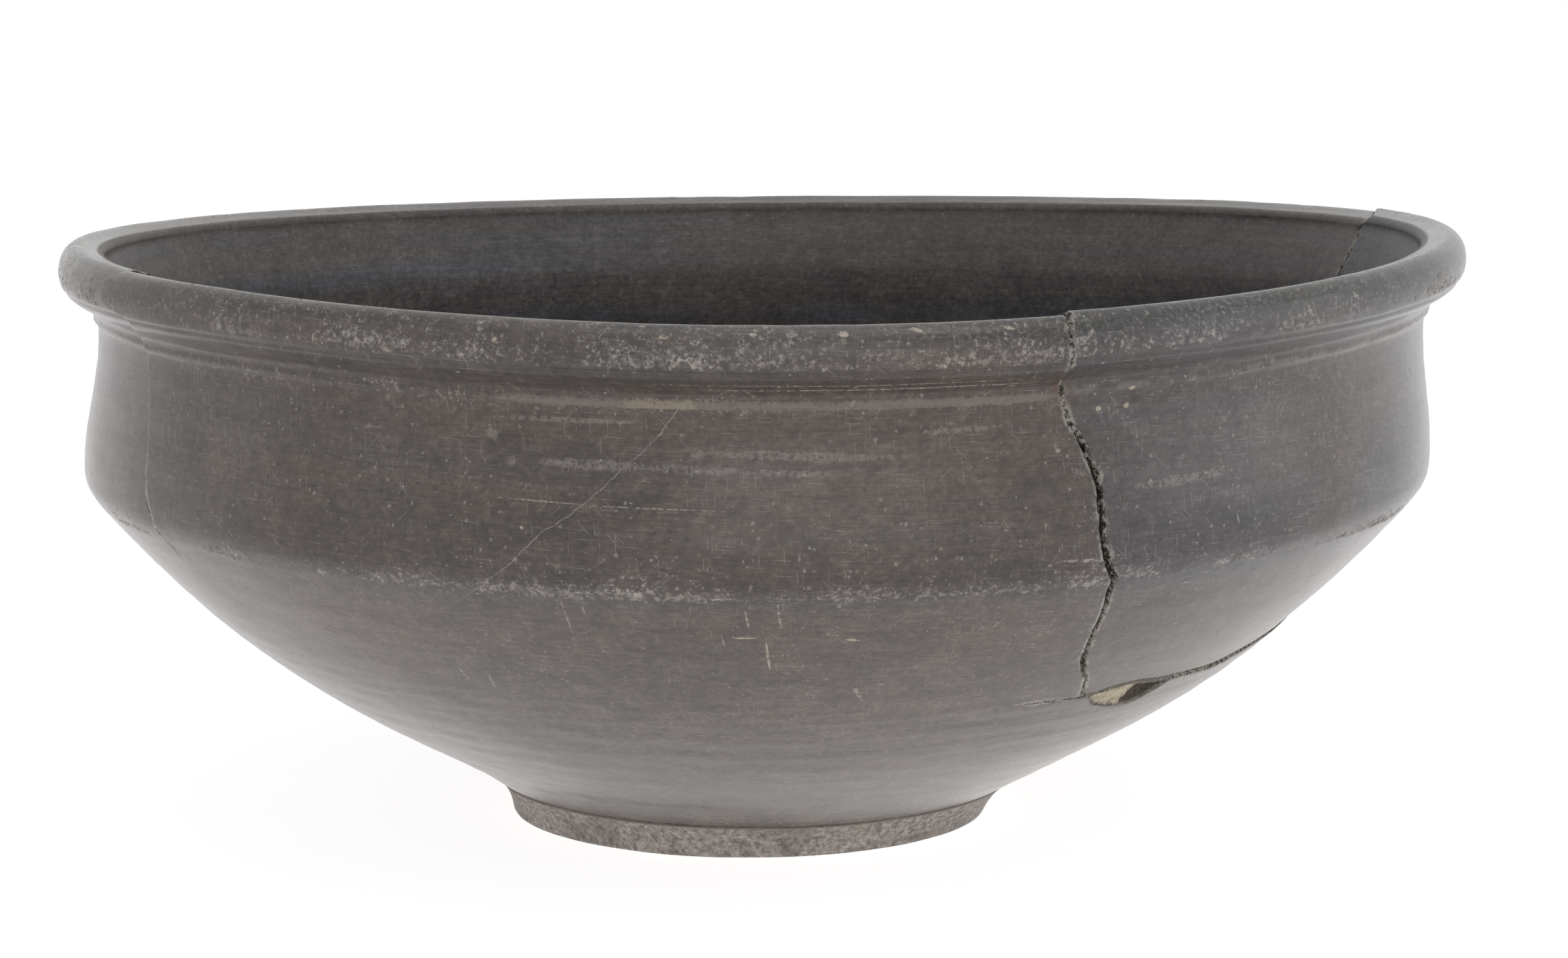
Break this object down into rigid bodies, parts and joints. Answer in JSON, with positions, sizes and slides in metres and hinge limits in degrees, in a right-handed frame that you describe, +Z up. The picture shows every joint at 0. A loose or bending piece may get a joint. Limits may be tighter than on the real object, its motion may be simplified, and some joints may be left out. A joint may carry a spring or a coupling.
{
  "type": "cracked pottery bowl",
  "caption": "Wide carinated bowl of grey wheel-turned pottery on a ring foot, with a rolled lip, open cracks, a raised sherd and a missing flake.",
  "frame": {"origin": "middle of the bounding box's lower face, in the plane that the ring foot stands on", "axes": "+Z up, along the axis on which the bowl was turned; -Y is the side that the picture shows, with the open crack to its right, and +X is its right"},
  "size_m": [0.28, 0.28, 0.1195],
  "materials": {
    "bowl": "burnished grey pottery, dull with a slight sheen"
  },
  "bodies": {
    "root": {"bowl": "bowl"}
  },
  "joints": []
}
